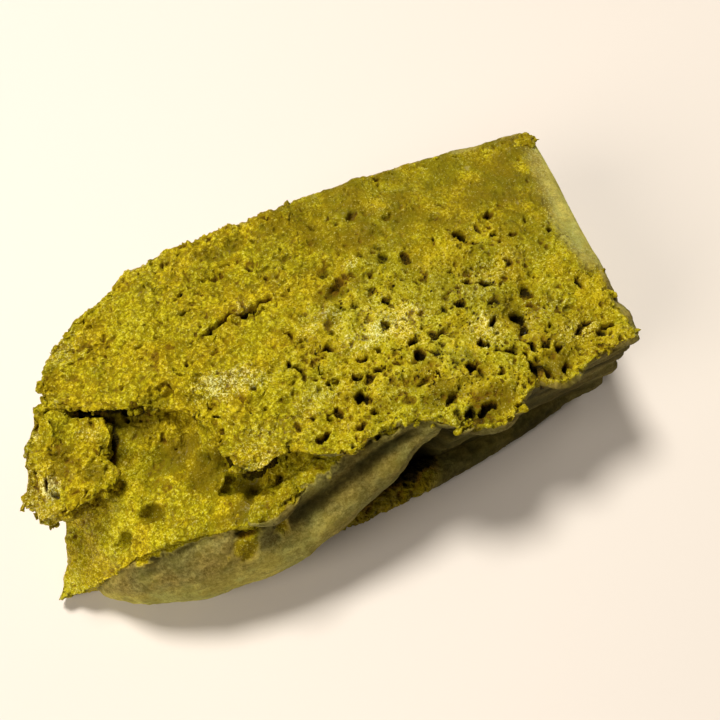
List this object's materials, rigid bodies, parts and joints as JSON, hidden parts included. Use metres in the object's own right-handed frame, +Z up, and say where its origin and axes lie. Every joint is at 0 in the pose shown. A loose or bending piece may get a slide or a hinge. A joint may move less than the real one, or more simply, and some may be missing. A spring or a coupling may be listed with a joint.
{
  "type": "steamed cake",
  "caption": "Half of a small green steamed loaf cake, torn lengthwise and lying crumb side up, with a fold of smooth skin along its front.",
  "frame": {"origin": "middle of the footprint, on the flat side that the cake lies on", "axes": "+X towards the loaf's smooth end wall, +Y towards the loaf's bottom, +Z up out of the torn crumb face"},
  "size_m": [0.1374, 0.0696, 0.0353],
  "materials": {
    "crumb": "moist open steamed crumb, yellow green, with pores from under a millimetre to four millimetres",
    "skin": "smooth thin steamed skin, grey olive green, faintly satin, finely pitted"
  },
  "bodies": {
    "root": {"cake": "crumb"}
  },
  "joints": []
}
